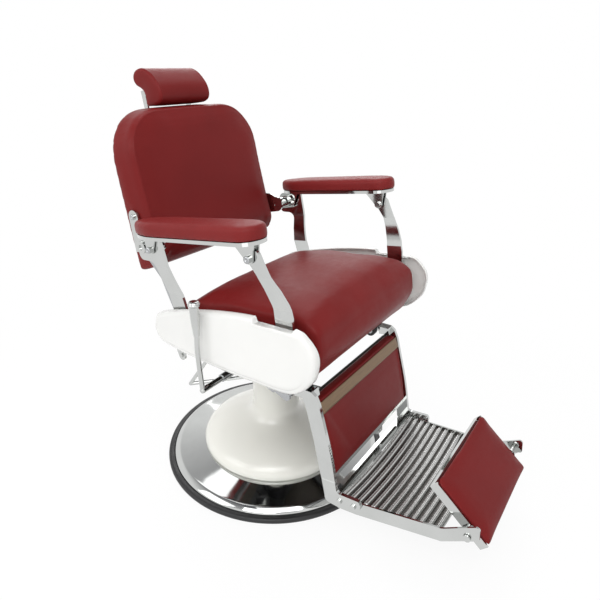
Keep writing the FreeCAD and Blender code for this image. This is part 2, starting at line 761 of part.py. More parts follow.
def calf_parts():
    half = S.calf_half
    low = S.calf_low
    body = new_body("calf_pad")
    pad(body, "side", [[(347.5, low), (370, low), (368, 207, 850), (345, 358), (323, 356, -850),
                        (345.5, 207)]], -half, half)
    body = new_body("calf_board")
    pad(body, "side", [[(336.5, 124), (346.2, 124), (344.2, 207, 850), (321.7, 354.5),
                        (312.5, 353, -850), (334.5, 207)]], 3 - half, half - 3)
    body = new_body("calf_trim")
    pad(body, "side", [[(353.4, 322), (355.8, 322.5), (348.9, 353.6), (346.6, 353)]], -half, half)
    body = new_body("calf_lower_trim")
    pad(body, "side", [[(346.8, 123), (365, 123), (369.6, low - 0.3), (347.2, low - 0.3)]],
        -half, half)
    pad(body, "side", [rectangle(349, 106, 363, 124)], 48, 76)
    body = new_body("calf_lugs")
    for side in (-1, 1):
        pad(body, "side", [[(320, 320), (330, 320), (325, 338), (316, 338)],
                           [(337, 130), (345, 130), (345, 160), (337, 160)]],
            *span(side, half - 3, S.legrail_inner))
    body = new_body("leg_lower_bar")
    pad(body, "side", [rectangle(356, 69, 374, 79)], -S.legrail_inner, S.legrail_inner)
    pad(body, "side", [rectangle(373, 69, 383, 79)], -205, 205)


def foot_bars():
    outline = [(375, 44), (648, 44), (728, 76, 8), (736, 85), (737, 107, 8), (728, 115), (655, 84),
               (648, 82), (375, 82)]
    wide = S.footbar_wide
    narrow = S.footbar_narrow
    run = [(wide, 360), (wide, 430), (narrow + 1.5, 700), (narrow, 745)]
    for side, name in ((-1, "right"), (1, "left")):
        body = new_body("foot_bar_" + name)
        low, high = span(side, 172, 220)
        pad(body, "side", [outline], low, high)
        inside = [(x - 2.5, s) for x, s in run] + [(160, 745), (160, 360)]
        outside = [(x + 2.5, s) for x, s in run] + [(230, 745), (230, 360)]
        for shape in (inside, outside[::-1]):
            pocket(body, "plan", [[(side * x, s) for x, s in shape[::side]]], 30, 130)
        pocket(body, "side", [hole(S.flip_forward, S.flip_level, 6.05), hole(389, 77, 4),
                              hole(430, 76, 4)], low, high)
    body = new_body("foot_bolts")
    for side in (-1, 1):
        places = [(389, 77), (430, 76)]
        pad(body, "side", [hole(s, n, 3.9) for s, n in places], *span(side, 206.3, 225))
        pad(body, "side", [hole(s, n, 7.5) for s, n in places],
            *span(side, S.legrail_outer, S.legrail_outer + 5))


def foot_plate():
    """Dished tread plate with ribs across; its own frame starts at its rear edge."""
    body = new_body("foot_plate", TREAD)
    half = 205.5
    dish = 16.0
    radius = (half * half + dish * dish) / (2 * dish)
    pad(body, "front", [[(-half, -5, radius + 5), (half, -5), (half, 0, -radius), (-half, 0)]],
        0, 260)
    rib = pad(body, "front", [[(-half, -1, radius + 1), (half, -1), (half, 3.5, 3.5 - radius),
                               (-half, 3.5)]], 4, 14)
    pattern = body.newObject("PartDesign::LinearPattern", "foot_plate_ribs")
    pattern.Originals = [rib]
    axis = [part for part in body.Origin.OriginFeatures if part.Role == "Y_Axis"][0]
    pattern.Direction = (axis, [""])
    pattern.Reversed = True
    pattern.Mode = "Spacing"
    pattern.Offset = float(S.rib_pitch)
    pattern.setExpression("Offset", S.rib_pitch.formula)
    pattern.Occurrences = int(S.rib_count)
    body.Tip = pattern
    for side in (-1, 1):
        outline = [(206, 45), (240, 45), (240, 300), (181.5, 300), (186, 258)]
        pocket(body, "plan", [[(side * x, s) for x, s in outline[::side]]], -40, 20)


def flip_parts():
    half = S.flip_half
    body = new_body("flip_tray", FLIP)
    pad(body, "side", [rectangle(-16, -S.flip_short, -1, S.flip_long)], -half, half)
    for side in (-1, 1):
        pad(body, "side", [rectangle(-16, -S.flip_short, 8, S.flip_long)],
            *span(side, half - 4, half))
    pad(body, "side", [hole(0, 0, 14)], -half - 5, -half)
    pad(body, "side", [hole(0, 0, 14)], half, half + 5)
    for side in (-1, 1):
        web = [(-14, -14), (0, -14), (14, 0), (0, 14), (-14, 14)]
        pad(body, "side", [web], *span(side, half - 4, half + 5))
    body = new_body("flip_pad", FLIP)
    pad(body, "side", [rectangle(-0.7, 3 - S.flip_short, 11, S.flip_long - 3)], 4.5 - half,
        half - 4.5)
    body = new_body("flip_pivots", FLIP)
    pad(body, "side", [hole(0, 0, 6)], -half - 32, -half - 5)
    pad(body, "side", [hole(0, 0, 6)], half + 5, half + 32)
    pad(body, "side", [hole(0, 0, 9)], -half - 32, -half - 28)
    pad(body, "side", [hole(0, 0, 17.5)], half + 28, half + 39)


# ---------------------------------------------------------------- linkage, cylinder and levers

def link_bar():
    body = new_body("link_bar")
    s = -float(S.pivot_back) - float(S.crank_run)
    n = float(S.pivot_level) + float(S.crank_rise)
    front = float(S.leg_forward) - float(S.crank_run)
    low = float(S.leg_level) + float(S.crank_rise)
    path = [(s, n), (-110, 700), (-76, 655), (-60, 600), (-44, 550), (front, low)]
    pad(body, "side", [strip(path, float(S.link_half))],
        -S.link_inner - S.link_thick, -S.link_inner)
    pocket(body, "side", [hole(s, n, S.link_pin + S.fit), hole(front, low, S.link_pin + S.fit)],
           -S.link_inner - S.link_thick - 1, 1 - S.link_inner)


def recline_cylinder():
    body = new_body("recline_cylinder")
    level = S.cyl_level
    side = S.cyl_side
    outer = hole(-side, level, S.cyl_radius)
    pad(body, "front", [outer], 142, 150)
    pad(body, "front", [outer, hole(-side, level, 12)], 150, 224)
    pad(body, "front", [outer, hole(-side, level, S.rod_radius + S.fit)], 224, 232)
    body = new_body("cylinder_rod")
    pin = float(S.leg_forward) + float(S.piston_run) * math.cos(math.radians(65))
    pad(body, "front", [hole(-side, level, S.rod_radius)], 190, pin - 26)
    pad(body, "front", [hole(-side, level, 11.9)], 190, 199)
    pad(body, "side", [rectangle(pin - 30, level - 8, pin - 19, level + 8)], -side - 13, 13 - side)
    cheek = rectangle(pin - 20, level - 12, pin + 10, level + 12)
    for near in (-13, 8):
        pad(body, "side", [cheek], near - side, near - side + 5)
    wide = 5.35
    slot = [(pin - wide, level - 2.3, wide), (pin, level - 2.3 - wide, wide), (pin + wide, level - 2.3),
            (pin + wide, level + 2.3, wide), (pin, level + 2.3 + wide, wide), (pin - wide, level + 2.3)]
    pocket(body, "side", [slot], -side - 14, 14 - side)


def levers():
    body = new_body("lever_sleeve")
    bore = S.pump_radius + S.fit
    pad(body, "side", [hole(S.pump_forward, S.pump_level, 11),
                       hole(S.pump_forward, S.pump_level, bore)], -260, -S.rail_outer)
    side = -float(S.pump_side)
    shaft = seat_point(side, float(S.pump_forward), float(S.pump_level))
    points = [seat_point(-88, float(S.pump_forward), float(S.pump_level)), shaft,
              seat_point(side, 78, 445), seat_point(side, 83, 500), seat_point(side, 91, 540)]
    thick = Part.makeCylinder(float(S.pump_radius), 242, points[0], Vector(-1, 0, 0))
    thick = thick.fuse(Part.makeSphere(float(S.pump_radius), shaft))
    loose("pump_lever", thick.fuse(rod(points[1:], 6.5)).removeSplitter())
    body = new_body("pump_grip", GRIP)
    pivot = Vector(0, 0, 0)
    body.Placement = RAKED.multiply(Placement(seat_point(side, 91, 540).add(pivot),
                                              Rotation(Vector(1, 0, 0), 7.0)))
    turn(body, [(0, 0.3), (8, 0.3), (8.5, 12, 600), (12, 78), (14, 80, 4), (14, 86, 8), (8, 92),
                (0, 92)])


def release():
    """Bent rod under the right side, on a slanting hinge line between two lugs."""
    outer = seat_point(-262, 35, 432)
    inner = seat_point(-160, 121, 427)
    run = inner.sub(outer).normalize()
    points = [outer, seat_point(-280, -31, 354), seat_point(-160, 121, 354), inner]
    shape = rod(points, 5)
    for point, way in ((outer, 1), (inner, -1)):
        shape = shape.fuse(Part.makeSphere(5, point))
        shape = shape.fuse(Part.makeCylinder(4, 18, point, Vector(run).multiply(way)))
    loose("recline_lever", shape.removeSplitter())
    lugs = []
    for point, way, top in ((outer, 1, 440), (inner, -1, 435)):
        start = point.add(Vector(run).multiply(8 * way))
        direction = Vector(run).multiply(way)
        lug = Part.makeCylinder(7.5, 8, start, direction)
        middle = start.add(Vector(direction).multiply(4))
        web = Part.makeBox(12, 12, top - middle.z, Vector(middle.x - 6, middle.y - 6, middle.z))
        lug = lug.fuse(web)
        lug = lug.cut(Part.makeCylinder(4.05, 30, point, direction))
        lugs.append(lug)
    loose("release_lugs", Part.makeCompound(lugs))


def build():
    floor_ring()
    base_plate()
    pump_cylinder()
    base_bolts()
    bell_cover()
    guide_bush()
    ram_parts()
    swivel_parts()
    seat_frame()
    seat_board()
    seat_cushion()
    for side, name in ((-1, "right"), (1, "left")):
        skirt("skirt_" + name, side)
        post("front_post_" + name, side, FRONT_POST, [(280, 742, 5.1), (326, 525, 5)])
        post("rear_post_" + name, side, REAR_POST,
             [(-45, 744, 5.1), (-8, 505, 5), (-78, 748, 8.2)])
        arm(side, name)
    side_bolts()
    back_pivot_bolts()
    backrest()
    back_brackets()
    headrest()
    leg_rails()
    leg_hinge_shaft()
    calf_parts()
    foot_bars()
    foot_plate()
    flip_parts()
    link_bar()
    recline_cylinder()
    levers()
    release()
    doc.recompute()


def check_and_write():
    """Every object sound and every shape valid, then one file for each sub-part."""
    for item in doc.Objects:
        if "Invalid" in item.State or "Error" in item.State:
            raise RuntimeError("%s is %s" % (item.Name, item.State))
    for label, item in made.items():
        if item.Shape.isNull() or not item.Shape.isValid():
            raise RuntimeError("%s has no valid shape" % label)
    os.makedirs("parts", exist_ok=True)
    for label, item in made.items():
        item.Shape.exportStep("parts/%s.step" % label)
        print("%-20s solids %d volume %.0f" % (label, len(item.Shape.Solids), item.Shape.Volume))


build()
check_and_write()
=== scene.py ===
import json
import math
import bmesh
import bpy
import numpy as np
from mathutils import Matrix, Vector

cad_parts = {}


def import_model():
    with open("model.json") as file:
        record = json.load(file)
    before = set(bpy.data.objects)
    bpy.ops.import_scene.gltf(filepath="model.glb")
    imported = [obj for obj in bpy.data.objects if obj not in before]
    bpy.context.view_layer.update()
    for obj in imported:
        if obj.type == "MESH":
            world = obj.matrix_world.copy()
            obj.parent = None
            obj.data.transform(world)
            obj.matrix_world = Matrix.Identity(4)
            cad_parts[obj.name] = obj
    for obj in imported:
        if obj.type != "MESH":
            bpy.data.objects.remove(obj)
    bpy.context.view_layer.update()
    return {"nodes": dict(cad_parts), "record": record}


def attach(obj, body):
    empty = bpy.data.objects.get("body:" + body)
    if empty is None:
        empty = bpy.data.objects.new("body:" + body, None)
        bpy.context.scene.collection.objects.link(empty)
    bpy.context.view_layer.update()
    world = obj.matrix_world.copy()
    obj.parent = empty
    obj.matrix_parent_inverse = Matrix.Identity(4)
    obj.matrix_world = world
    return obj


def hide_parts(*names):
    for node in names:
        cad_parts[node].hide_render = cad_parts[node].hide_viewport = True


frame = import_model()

# Hydraulic barber chair.  Lengths below are millimetres until a point goes through one of the
# place functions, which return metres in the frame's own axes.

NODES = frame["nodes"]
SLOT_OF = {part["node"]: part["material_slot"] for part in frame["record"]["subparts"]}


# ---------------------------------------------------------------- places

def lean_by(degrees):
    """Cosine and sine of an angle."""
    return math.cos(math.radians(degrees)), math.sin(math.radians(degrees))


RAKE = lean_by(8.5)


def seat(x, s, n):
    """Across, forward and up in the raked seat."""
    c, d = RAKE
    return (x / 1000, (-s * c + n * d) / 1000, (s * d + n * c) / 1000)


def tilted(forward, level, lean):
    """Places for a piece whose own frame stands at a point of the seat and leans back."""
    c, d = lean_by(lean)
    return lambda x, s, n: seat(x, forward + s * c - n * d, level + s * d + n * c)


# Places on the tread plate (across, forward, up) and on the flip-up pad (across, out of the pad's
# face, up along the pad).
TREAD = tilted(385, 83.5, -3.6)
FLIP = tilted(708, 79, 41.4)


# ---------------------------------------------------------------- outlines

ARC_STEPS = 8
SPLINE_STEPS = 12


def ccw(outline):
    """The closed outline, turned round where it runs clockwise."""
    u, v = outline[:, 0], outline[:, 1]
    area = np.sum(u * np.roll(v, -1) - np.roll(u, -1) * v)
    return outline if area > 0 else outline[::-1]


def even(outline, count):
    """The same closed outline with evenly spaced points, running anticlockwise."""
    closed = np.vstack((outline, outline[:1]))
    run = np.concatenate(([0], np.cumsum(np.linalg.norm(np.diff(closed, axis=0), axis=1))))
    at = np.linspace(0, run[-1], count, endpoint=False)
    return ccw(np.stack([np.interp(at, run, closed[:, i]) for i in (0, 1)], 1))


def rounded(corners, count):
    """Closed outline through corners (u, v, radius)."""
    points = []
    for number, (u, v, radius) in enumerate(corners):
        here = np.array((u, v), float)
        back = np.array(corners[number - 1][:2], float) - here
        on = np.array(corners[(number + 1) % len(corners)][:2], float) - here
        a = back / np.linalg.norm(back)
        b = on / np.linalg.norm(on)
        half = 0.5 * math.acos(max(-1, min(1, float(a @ b))))
        reach = min(radius / math.tan(half), 0.49 * np.linalg.norm(back),
                    0.49 * np.linalg.norm(on))
        middle = here + (a + b) / np.linalg.norm(a + b) * reach / math.cos(half)
        start = here + a * reach - middle
        end = here + b * reach - middle
        sweep = math.pi - 2 * half
        for step in range(ARC_STEPS + 1):
            t = step / ARC_STEPS
            mixed = start * math.sin((1 - t) * sweep) + end * math.sin(t * sweep)
            points.append(middle + mixed / math.sin(sweep))
    return even(np.array(points), count)


def shrunk(corners, amount, count=240):
    """The rounded outline of anticlockwise corners, drawn in evenly, its corners still round."""
    p = np.array([corner[:2] for corner in corners], float)
    one = p - np.roll(p, 1, 0)
    two = np.roll(p, -1, 0) - p
    one /= np.linalg.norm(one, axis=1)[:, None]
    two /= np.linalg.norm(two, axis=1)[:, None]
    inward = np.stack((-one[:, 1] - two[:, 1], one[:, 0] + two[:, 0]), 1)
    p = p + inward * (amount / (1 + np.sum(one * two, axis=1)))[:, None]
    outer = one[:, 0] * two[:, 1] - one[:, 1] * two[:, 0] > 0
    radii = [max(1.5, corner[2] - amount) if out else corner[2] + amount
             for corner, out in zip(corners, outer)]
    return rounded([(u, v, radius) for (u, v), radius in zip(p, radii)], count)


def spline(points, count):
    """Closed smooth curve through the points."""
    p = np.array(points, float)
    t = np.linspace(0, 1, SPLINE_STEPS, endpoint=False)[:, None]
    runs = []
    for i in range(len(p)):
        a, b, c, d = p[i - 1], p[i], p[(i + 1) % len(p)], p[(i + 2) % len(p)]
        runs.append(0.5 * (2 * b + (c - a) * t + (2 * a - 5 * b + 4 * c - d) * t ** 2
                           + (3 * b - a - 3 * c + d) * t ** 3))
    return even(np.vstack(runs), count)


def drawn_in(outline, amount):
    """The outline moved inwards; the amount is one number or one for each point."""
    along = np.roll(outline, -1, 0) - np.roll(outline, 1, 0)
    along /= np.linalg.norm(along, axis=1)[:, None]
    inward = np.stack((-along[:, 1], along[:, 0]), 1)
    return outline + inward * np.reshape(amount, (-1, 1))


def smooth_step(t):
    """From 0 to 1 as t does, with a level start and end."""
    t = np.clip(t, 0, 1)
    return t * t * (3 - 2 * t)


def end_rings(low, high, r_low, r_high, steps=5):
    """Depth and inset of every ring of a swept form with two rounded ends."""
    rings = []
    for k in range(steps + 1):
        angle = math.pi / 2 * k / steps
        rings.append((low + r_low * (1 - math.cos(angle)), r_low * (1 - math.sin(angle))))
    for t in (0.2, 0.4, 0.6, 0.8):
        rings.append((low + r_low + t * (high - low - r_low - r_high), 0))
    for k in range(steps, -1, -1):
        angle = math.pi / 2 * k / steps
        rings.append((high - r_high * (1 - math.cos(angle)), r_high * (1 - math.sin(angle))))
    return rings


# ---------------------------------------------------------------- meshes

AIR_PRESSURE = 4.0
CLOTH_FRAMES = 20
EVENING_ROUNDS = 24
POINTS_AT_ONCE = 4000


def link(obj):
    bpy.context.scene.collection.objects.link(obj)
    return obj


def shade_smooth(mesh):
    mesh.polygons.foreach_set("use_smooth", [True] * len(mesh.polygons))


def mesh_object(name, points, faces):
    mesh = bpy.data.meshes.new(name)
    mesh.from_pydata([tuple(p) for p in points], [], faces)
    work = bmesh.new()
    work.from_mesh(mesh)
    bmesh.ops.recalc_face_normals(work, faces=work.faces)
    work.to_mesh(mesh)
    work.free()
    shade_smooth(mesh)
    return link(bpy.data.objects.new(name, mesh))


def loft(name, rings, caps=True, closed=True):
    """Skin over rings of equal point counts."""
    count = len(rings[0])
    faces = []
    for j in range(len(rings) - 1):
        for i in range(count if closed else count - 1):
            k = (i + 1) % count
            faces.append((j * count + i, j * count + k, (j + 1) * count + k, (j + 1) * count + i))
    if caps:
        last = (len(rings) - 1) * count
        faces.append(tuple(range(count - 1, -1, -1)))
        faces.append(tuple(range(last, last + count)))
    return mesh_object(name, [p for ring in rings for p in ring], faces)


def applied(obj):
    """Make the result of the modifiers the object's own mesh."""
    depsgraph = bpy.context.evaluated_depsgraph_get()
    mesh = bpy.data.meshes.new_from_object(obj.evaluated_get(depsgraph))
    obj.modifiers.clear()
    obj.data = mesh
    shade_smooth(mesh)


def vertex_rows(obj, what):
    """The vertices' "co" or "normal", a row for each."""
    flat = np.zeros(len(obj.data.vertices) * 3)
    obj.data.vertices.foreach_get(what, flat)
    return flat.reshape(-1, 3)


def set_coordinates(obj, points):
    obj.data.vertices.foreach_set("co", points.ravel())
    obj.data.update()


def evened(obj, field):
    """A value for each point, spread over its neighbours so that no wrinkle is left in it."""
    ends = np.zeros(len(obj.data.edges) * 2, int)
    obj.data.edges.foreach_get("vertices", ends)
    a, b = ends.reshape(-1, 2).T
    size = len(field)
    count = np.bincount(a, minlength=size) + np.bincount(b, minlength=size)
    for turn in range(EVENING_ROUNDS):
        total = [np.bincount(a, field[b, i], size) + np.bincount(b, field[a, i], size)
                 for i in range(3)]
        field = 0.4 * field + 0.6 * np.stack(total, 1) / count[:, None]
    return field


def swell(obj, voxel, cap, held=None, limit=None, relax=3, raised=None):
    """Cloth simulation with air pressure inside, which fills a closed form out as foam does.
    held says which points stay.  cap is the most that a point may move, in metres, for all points
    or for each.  limit keeps the points off the parts next to them.  raised gives the height in
    millimetres of welts and ridges, which come after the simulation."""
    remesh = obj.modifiers.new("remesh", "REMESH")
    remesh.mode = "VOXEL"
    remesh.voxel_size = voxel
    soften = obj.modifiers.new("soften", "SMOOTH")
    soften.iterations = relax
    soften.factor = 0.5
    applied(obj)
    rest = vertex_rows(obj, "co")
    cloth = obj.modifiers.new("cloth", "CLOTH")
    cloth.settings.quality = 4
    cloth.settings.use_pressure = True
    cloth.settings.uniform_pressure_force = AIR_PRESSURE
    cloth.settings.effector_weights.gravity = 0
    cloth.collision_settings.use_collision = False
    if held is not None:
        group = obj.vertex_groups.new(name="held")
        group.add([int(i) for i in np.nonzero(held(rest))[0]], 1.0, "REPLACE")
        cloth.settings.vertex_group_mass = "held"
    for step in range(1, CLOTH_FRAMES + 1):
        bpy.context.scene.frame_set(step)
    applied(obj)
    bpy.context.scene.frame_set(1)
    moved = vertex_rows(obj, "co") - rest
    far = np.linalg.norm(moved, axis=1)[:, None] + 1e-9
    most = np.reshape(cap(rest) if callable(cap) else cap, (-1, 1))
    rest = rest + evened(obj, moved / far * most * np.tanh(far / most))
    if limit is not None:
        rest = limit(rest)
    set_coordinates(obj, rest)
    obj.vertex_groups.clear()
    fine = obj.modifiers.new("fine", "SUBSURF")
    fine.levels = 1
    applied(obj)
    if raised is not None:
        points = vertex_rows(obj, "co")
        lift = vertex_rows(obj, "normal") * raised(points)[:, None] / 1000
        set_coordinates(obj, points + lift)


def ridge(place, centre, width):
    """A welt of height 1 across a line."""
    return np.exp(-((place - centre) / width) ** 2)


def edge_distance(outline, u, v):
    """How far points lie from an outline, in its own plane."""
    a = outline
    b = np.roll(outline, -1, 0)
    run = b - a
    size = np.sum(run ** 2, axis=1)
    nearest = np.zeros(len(u))
    for start in range(0, len(u), POINTS_AT_ONCE):
        some = slice(start, start + POINTS_AT_ONCE)
        p = np.stack((u[some], v[some]), 1)[:, None, :]
        t = np.clip(np.sum((p - a) * run, axis=2) / size, 0, 1)[:, :, None]
        gap = np.linalg.norm(p - a - t * run, axis=2)
        nearest[some] = gap.min(axis=1)
    return nearest


def local(points):
    """Rows of metres in the frame back to seat coordinates in mm."""
    c, d = RAKE
    x, y, z = (points * 1000).T
    return x, -y * c + z * d, y * d + z * c


def world(x, s, n):
    """Columns of seat coordinates in mm to rows of metres in the frame."""
    c, d = RAKE
    return np.stack((x, -s * c + n * d, s * d + n * c), 1) / 1000


# ---------------------------------------------------------------- materials

def new_material(name):
    material = bpy.data.materials.new(name)
    material.use_nodes = True
    tree = material.node_tree
    return material, tree, tree.nodes["Principled BSDF"]


def node(tree, kind, **values):
    """A new node; each value goes to the input of its name, or else to the node's own setting."""
    made = tree.nodes.new(kind)
    for key, value in values.items():
        if key in made.inputs:
            made.inputs[key].default_value = value
        else:
            setattr(made, key, value)
    return made


def noise_field(tree, scale, detail, stretch=(1, 1, 1)):
    """Noise over the object's own coordinates, in metres."""
    place = node(tree, "ShaderNodeTexCoord")
    mapping = node(tree, "ShaderNodeMapping")
    mapping.inputs["Scale"].default_value = stretch
    noise = node(tree, "ShaderNodeTexNoise", Scale=scale, Detail=detail)
    tree.links.new(place.outputs["Object"], mapping.inputs["Vector"])
    tree.links.new(mapping.outputs["Vector"], noise.inputs["Vector"])
    return noise.outputs["Fac"]


def cell_field(tree, scale):
    """Distance to the nearest of many scattered points, as leather grain has."""
    place = node(tree, "ShaderNodeTexCoord")
    cells = node(tree, "ShaderNodeTexVoronoi", Scale=scale, feature="F1")
    tree.links.new(place.outputs["Object"], cells.inputs["Vector"])
    return cells.outputs["Distance"]


def ramp(tree, field, low, high, first, last):
    """Colour of a field: first up to low, last from high on, mixed between."""
    made = node(tree, "ShaderNodeValToRGB")
    for stop, position, colour in zip(made.color_ramp.elements, (low, high), (first, last)):
        stop.position = position
        stop.color = colour
    tree.links.new(field, made.inputs["Fac"])
    return made.outputs["Color"]


def ranged(tree, field, from_low, from_high, low, high):
    """A number field taken from one range to another, and held there."""
    made = node(tree, "ShaderNodeMapRange")
    made.inputs["From Min"].default_value = from_low
    made.inputs["From Max"].default_value = from_high
    made.inputs["To Min"].default_value = low
    made.inputs["To Max"].default_value = high
    tree.links.new(field, made.inputs["Value"])
    return made.outputs["Result"]


def spread(tree, field, low, high, socket):
    """Send a noise field to a number socket, between two values."""
    tree.links.new(ranged(tree, field, 0.3, 0.7, low, high), socket)


def bump(tree, shader, field, distance, strength, under=None):
    """Relief of a field on the shader, laid over the relief under it."""
    made = node(tree, "ShaderNodeBump", Distance=distance, Strength=strength)
    tree.links.new(field, made.inputs["Height"])
    if under is not None:
        tree.links.new(under, made.inputs["Normal"])
    tree.links.new(made.outputs["Normal"], shader.inputs["Normal"])
    return made.outputs["Normal"]


def tint(colour, factor):
    return tuple(min(1, c * factor) for c in colour) + (1,)


def leather(name, colour):
    material, tree, shader = new_material(name)
    clouds = noise_field(tree, 7, 3)
    tree.links.new(ramp(tree, clouds, 0.3, 0.75, tint(colour, 0.93), tint(colour, 1.07)),
                   shader.inputs["Base Color"])
    spread(tree, noise_field(tree, 60, 5), 0.37, 0.45, shader.inputs["Roughness"])
    shader.inputs["Specular IOR Level"].default_value = 0.14
    folds = bump(tree, shader, noise_field(tree, 16, 2), 0.002, 0.05)
    bump(tree, shader, cell_field(tree, 900), 0.00025, 0.35, folds)
    return material


def enamel(name, colour):
    material, tree, shader = new_material(name)
    clouds = noise_field(tree, 5, 2)
    tree.links.new(ramp(tree, clouds, 0.3, 0.7, tint(colour, 0.965), tint(colour, 1.02)),
                   shader.inputs["Base Color"])
    spread(tree, noise_field(tree, 40, 4), 0.16, 0.24, shader.inputs["Roughness"])
    shader.inputs["Coat Weight"].default_value = 0.5
    shader.inputs["Coat Roughness"].default_value = 0.05
    bump(tree, shader, noise_field(tree, 240, 2), 0.0002, 0.08)
    return material


def polished(name, colour, low, high):
    """Bright metal with faint smears and a little ripple in its reflections."""
    material, tree, shader = new_material(name)
    smears = noise_field(tree, 14, 4)
    tree.links.new(ramp(tree, smears, 0.35, 0.7, tint(colour, 0.97), tint(colour, 1.03)),
                   shader.inputs["Base Color"])
    shader.inputs["Metallic"].default_value = 1.0
    spread(tree, smears, low, high, shader.inputs["Roughness"])
    bump(tree, shader, noise_field(tree, 9, 1), 0.001, 0.05)
    return material


def ribbed(name, colour, valley_shade, low, high):
    """Cast metal, bright on its ribs, with painted shade: a dark base colour where the mesh is
    marked as groove.
    """
    material, tree, shader = new_material(name)
    mark = node(tree, "ShaderNodeAttribute")
    mark.attribute_name = "groove"
    # Painted shade: the dark valley colour goes where the groove mark is high.
    tree.links.new(ramp(tree, mark.outputs["Fac"], 0, 1, tint(colour, 1), tint(valley_shade, 1)),
                   shader.inputs["Base Color"])
    shader.inputs["Metallic"].default_value = 1.0
    spread(tree, noise_field(tree, 30, 4), low, high, shader.inputs["Roughness"])
    bump(tree, shader, noise_field(tree, 120, 2), 0.0002, 0.1)
    return material


def brushed(name, colour, along, rough, metallic):
    """Metal with fine lines in one direction: along holds the noise stretch."""
    material, tree, shader = new_material(name)
    lines = noise_field(tree, 1, 3, along)
    tree.links.new(ramp(tree, lines, 0.3, 0.7, tint(colour, 0.8), tint(colour, 1.12)),
                   shader.inputs["Base Color"])
    shader.inputs["Metallic"].default_value = metallic
    spread(tree, lines, rough - 0.08, rough + 0.1, shader.inputs["Roughness"])
    bump(tree, shader, lines, 0.0002, 0.25)
    return material


def painted(name, colour, rough):
    material, tree, shader = new_material(name)
    clouds = noise_field(tree, 25, 5)
    tree.links.new(ramp(tree, clouds, 0.3, 0.75, tint(colour, 0.7), tint(colour, 1.25)),
                   shader.inputs["Base Color"])
    spread(tree, clouds, rough - 0.08, rough + 0.08, shader.inputs["Roughness"])
    bump(tree, shader, noise_field(tree, 500, 3), 0.0003, 0.2)
    return material


def plywood(name, dark, light):
    material, tree, shader = new_material(name)
    grain = noise_field(tree, 1, 6, (14, 160, 160))
    tree.links.new(ramp(tree, grain, 0.3, 0.7, dark, light), shader.inputs["Base Color"])
    shader.inputs["Roughness"].default_value = 0.65
    bump(tree, shader, grain, 0.0004, 0.3)
    return material


MATERIALS = {
    "black_rubber": painted("black_rubber", (0.014, 0.014, 0.015), 0.46),
    "chrome": polished("chrome", (0.58, 0.59, 0.58), 0.045, 0.08),
    "cream_enamel": enamel("cream_enamel", (0.90, 0.895, 0.83)),
    "white_enamel": enamel("white_enamel", (0.81, 0.81, 0.79)),
    "steel": polished("steel", (0.46, 0.47, 0.48), 0.22, 0.34),
    "dark_steel": painted("dark_steel", (0.018, 0.018, 0.02), 0.45),
    "wine_leather": leather("wine_leather", (0.172, 0.012, 0.012)),
    "board": plywood("board", (0.028, 0.022, 0.017, 1), (0.05, 0.038, 0.028, 1)),
    "bronze_trim": brushed("bronze_trim", (0.23, 0.155, 0.095), (30, 400, 400), 0.42, 0.6),
    # The aluminium's near-black colour is painted shade for the valleys and rib splits of the
    # tread.
    "aluminium": ribbed("aluminium", (0.66, 0.66, 0.65), (0.08, 0.075, 0.07), 0.22, 0.3),
    "arm_vinyl": leather("arm_vinyl", (0.195, 0.018, 0.018)),
}


EDGE_WIDTH = 0.0008     # metres
EDGE_ANGLE = math.radians(40)


def dress_frame():
    """Every node of the frame gets its slot's material and finely broken edges."""
    for name, obj in NODES.items():
        material = MATERIALS[SLOT_OF[name]]
        if obj.data.materials:
            for number in range(len(obj.data.materials)):
                obj.data.materials[number] = material
        else:
            obj.data.materials.append(material)
        edge = obj.modifiers.new("edge", "BEVEL")
        edge.width = EDGE_WIDTH
        edge.segments = 2
        edge.limit_method = "ANGLE"
        edge.angle_limit = EDGE_ANGLE


def finish_piece(obj, body, slot, *stands_for):
    """Material and body of a piece, and the nodes that it stands for, if any."""
    obj.data.materials.clear()
    obj.data.materials.append(MATERIALS[slot])
    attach(obj, body)
    if stands_for:
        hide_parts(*stands_for)


# ---------------------------------------------------------------- upholstery

FINE_OUTLINE = 260      # points round the outlines of the large panels

# Side view of the seat: forward, up and corner radius.
SEAT_EDGE = [(-20, 490, 18), (330, 490, 6), (337, 447, 8), (357, 428, 12), (402, 490, 70),
             (405, 562, 58), (372, 597, 55), (300, 610, 300), (150, 621, 600), (20, 609, 300),
             (-20, 594, 26)]
SEAT_HALF = 256


def seat_pad():
    """Seat with a rolled front edge that turns down and back."""
    rings = []
    for x, draw in end_rings(-SEAT_HALF, SEAT_HALF, 17, 17, 6):
        ring = shrunk(SEAT_EDGE, draw)
        across = abs(x) / SEAT_HALF
        # The rolled edge falls off at the sides and stands forward in the middle.
        drop = 15 * across ** 3 * smooth_step((ring[:, 1] - 540) / 50)
        pull = 4 * (1 - across ** 2) * smooth_step((ring[:, 0] - 380) / 20)
        rings.append([seat(x, s + p, n - d) for (s, n), d, p in zip(ring, drop, pull)])
    pad = loft("seat_upholstery", rings)

    def held(points):
        # The underside, where it lies on the seat board.
        x, s, n = local(points)
        return (n < 494) & (s < 330)

    def kept(points):
        # Between the arm posts and above the board; a little wider in front of them.
        x, s, n = local(points)
        most = 262 + 5 * smooth_step((s - 350) / 20)
        return world(np.clip(x, -most, most), s, np.where(s < 325, np.maximum(n, 488.6), n))

    def raised(points):
        # A welt along each side, which fades out below.
        x, s, n = local(points)
        shown = smooth_step((n - 500 + np.maximum(s - 330, 0)) / 60)
        return 1.2 * ridge(np.abs(x), 246, 4) * shown

    swell(pad, 0.006, 0.008, held, limit=kept, raised=raised)
    finish_piece(pad, "seat", "wine_leather", "seat_cushion")


def back_rear(n):
    """Forward position of the rear of the back at a height."""
    return -190 - (n - 656) * 0.055


def back_front(n):
    """The same for its front, which falls away at the lower edge."""
    fall = 20 * smooth_step((712 - n) / 46)
    return -89 - (n - 675.5) * 0.1175 - fall


